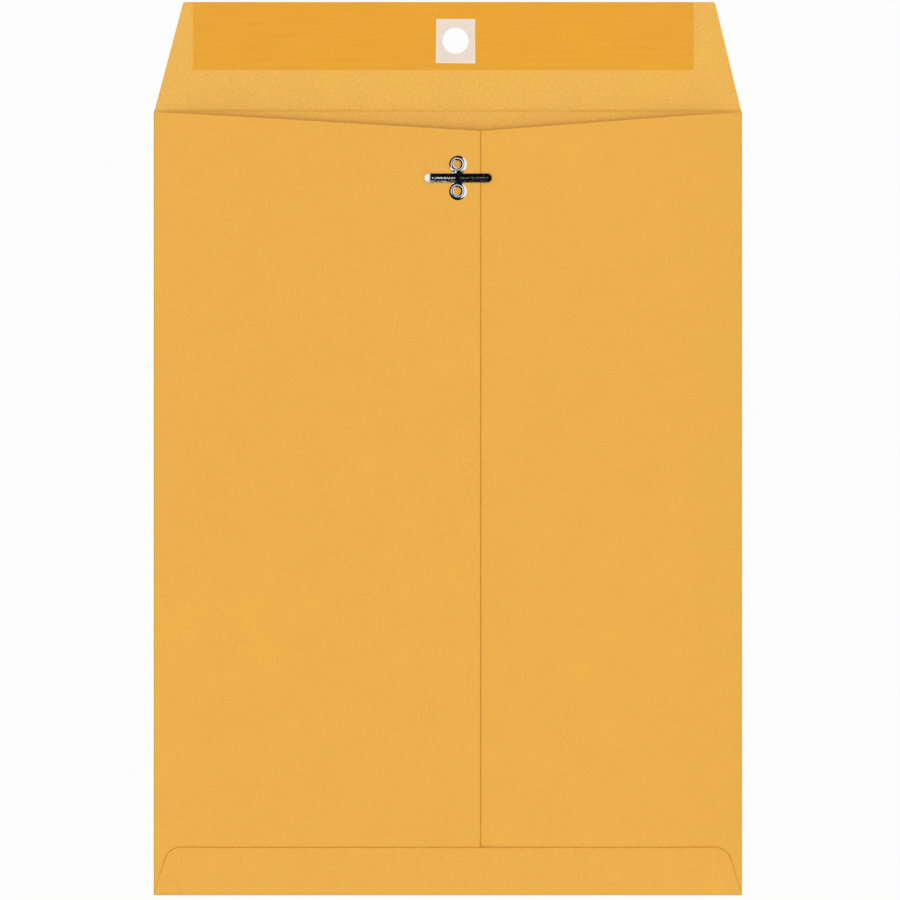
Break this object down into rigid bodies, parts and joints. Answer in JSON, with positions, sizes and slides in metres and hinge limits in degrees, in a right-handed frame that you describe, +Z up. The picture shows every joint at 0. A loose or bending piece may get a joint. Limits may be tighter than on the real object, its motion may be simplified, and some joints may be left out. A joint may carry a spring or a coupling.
{
  "type": "clasp envelope",
  "caption": "Large open-end kraft paper envelope with a gummed closing flap, a reinforced flap hole and a two-prong metal clasp on its back.",
  "frame": {"origin": "on the table, at the middle of the outline's box with the flap turned open", "axes": "+Z up off the table, out of the back where the clasp is; +Y from the pocket's bottom towards the flap; +X to the right, seen from the clasp side"},
  "size_m": [0.2286, 0.347, 0.0058],
  "materials": {
    "kraft_paper": "golden brown kraft paper, smooth and matt",
    "gum": "clear dried gum on kraft paper, slightly glossy",
    "patch_paper": "off-white coated paper, matt",
    "dried_glue": "dried paste, yellowish, amber where it is squeezed out",
    "tinned_steel": "bright tinned sheet steel"
  },
  "bodies": {
    "pocket": {"front_panel": "kraft_paper", "left_side_fold": "kraft_paper", "right_side_fold": "kraft_paper", "left_back_panel": "kraft_paper", "right_back_panel": "kraft_paper", "bottom_fold": "kraft_paper", "bottom_flap": "kraft_paper", "bottom_glue_left": "dried_glue", "bottom_glue_right": "dried_glue", "centre_seam_glue": "dried_glue", "clasp_base": "tinned_steel"},
    "flap": {"closing_flap": "kraft_paper", "flap_gum": "gum", "hole_patch": "patch_paper"},
    "prong_left": {"clasp_prong_left": "tinned_steel"},
    "prong_right": {"clasp_prong_right": "tinned_steel"}
  },
  "joints": [
    {"name": "flap_fold", "type": "hinge", "parent": "pocket", "child": "flap", "pos_m": [0, 0.13125, 0.0028], "axis": [1, 0, 0], "range_deg": [0, 178]},
    {"name": "prong_left_bend", "type": "hinge", "parent": "pocket", "child": "prong_left", "pos_m": [0.0017, 0.10485, 0.0054], "axis": [0, 1, 0], "range_deg": [0, 90]},
    {"name": "prong_right_bend", "type": "hinge", "parent": "pocket", "child": "prong_right", "pos_m": [0.0057, 0.10485, 0.0054], "axis": [0, -1, 0], "range_deg": [0, 90]}
  ]
}
